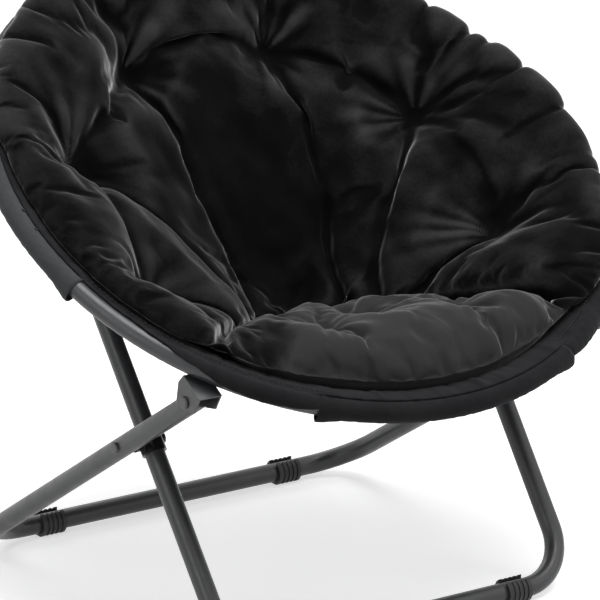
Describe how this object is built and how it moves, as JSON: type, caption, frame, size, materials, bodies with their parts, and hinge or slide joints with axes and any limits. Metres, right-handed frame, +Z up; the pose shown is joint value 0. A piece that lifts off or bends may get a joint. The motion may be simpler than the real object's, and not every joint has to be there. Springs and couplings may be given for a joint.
{
  "type": "folding accent chair",
  "caption": "Round padded saucer chair: a cloth sling and tufted velvet pad on a tilted tube hoop, carried by two crossed tube leg frames that fold flat.",
  "frame": {"origin": "on the floor under the middle of the open chair", "axes": "+Z up, +X to the sitter's left as seen from the front, the front edge of the seat faces -Y"},
  "size_m": [0.8168, 0.704, 0.7369],
  "materials": {
    "frame_coat": "satin charcoal powder coat",
    "black_plastic": "matte black moulded plastic",
    "gloss_black": "glossy black moulded plastic",
    "rivet_steel": "black coated steel rivet",
    "glide_plastic": "ribbed black plastic",
    "sleeve_cloth": "matte charcoal woven cloth",
    "velvet": "black velvet",
    "thread": "black sewing thread"
  },
  "bodies": {
    "rear_legs": {"rear_leg_frame": "frame_coat", "cross_rivets": "rivet_steel", "leg_end_plugs": "black_plastic", "glide_rear_left": "glide_plastic", "glide_rear_right": "glide_plastic"},
    "front_legs": {"front_leg_frame": "frame_coat", "cross_collar_left": "gloss_black", "cross_collar_right": "gloss_black", "saddle_left": "black_plastic", "saddle_right": "black_plastic", "saddle_rivets": "rivet_steel", "glide_front_left": "glide_plastic", "glide_front_right": "glide_plastic"},
    "seat": {"seat_hoop": "frame_coat", "bracket_left": "frame_coat", "bracket_right": "frame_coat", "bracket_rivets": "rivet_steel", "rear_sleeve": "sleeve_cloth", "front_sleeve": "sleeve_cloth", "border_band": "sleeve_cloth", "sling": "sleeve_cloth", "seat_pad": "velvet", "tuft_stitches": "thread"}
  },
  "joints": [
    {"name": "seat_fold", "type": "hinge", "parent": "rear_legs", "child": "seat", "pos_m": [0, -0.22009, 0.34459], "axis": [1, 0, 0], "range_deg": [0, 118]},
    {"name": "leg_fold", "type": "hinge", "parent": "rear_legs", "child": "front_legs", "pos_m": [0, -0.05416, 0.24158], "axis": [1, 0, 0], "range_deg": [0, 82.6]}
  ],
  "couplings": [
    {"joint": "leg_fold", "follows": "seat_fold", "ratio": 0.7}
  ]
}
